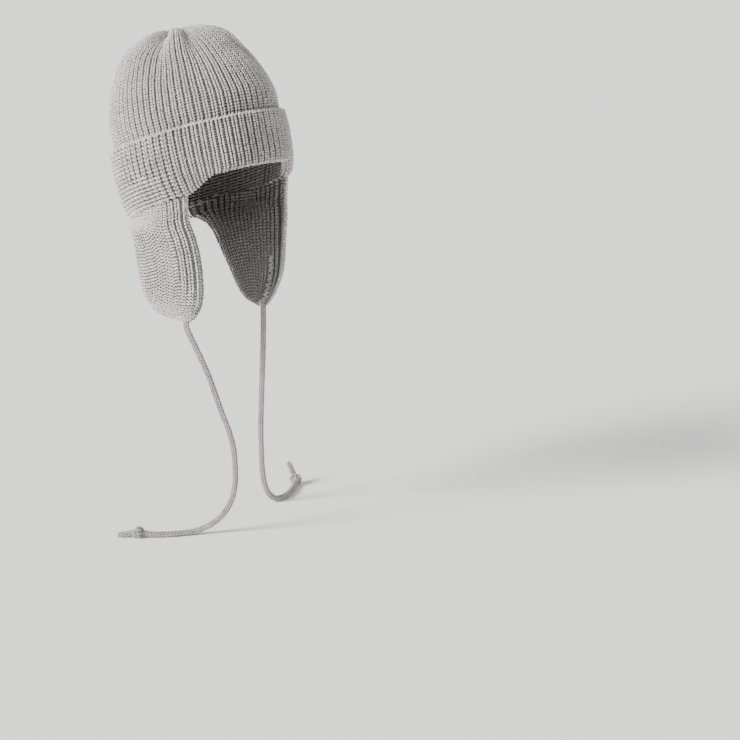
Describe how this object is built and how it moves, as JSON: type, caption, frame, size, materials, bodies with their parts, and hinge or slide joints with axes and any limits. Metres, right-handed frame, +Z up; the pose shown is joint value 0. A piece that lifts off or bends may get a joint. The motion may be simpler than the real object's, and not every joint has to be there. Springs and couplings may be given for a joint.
{
  "type": "knitted aviator hat",
  "caption": "Ribbed knit hat with a gathered crown, a turned-up band, padded ear flaps and a knotted tie cord hanging from each flap.",
  "frame": {"origin": "centre of the head opening, level with the middle of the rim", "axes": "+Z up through the crown, the front faces -Y, the wearer's left is +X"},
  "size_m": [0.2722, 0.1969, 0.5202],
  "materials": {
    "crown_knit": "soft rib knit in pale grey wool",
    "band_knit": "soft rib knit in pale grey wool",
    "flap_knit": "soft knit in pale grey wool",
    "cord_knit": "narrow knitted tube in grey wool"
  },
  "bodies": {
    "root": {"crown": "crown_knit", "band": "band_knit", "ear_flap_left": "flap_knit", "ear_flap_right": "flap_knit", "cord_left": "cord_knit", "cord_right": "cord_knit", "knot_left": "cord_knit", "knot_right": "cord_knit"}
  },
  "joints": []
}
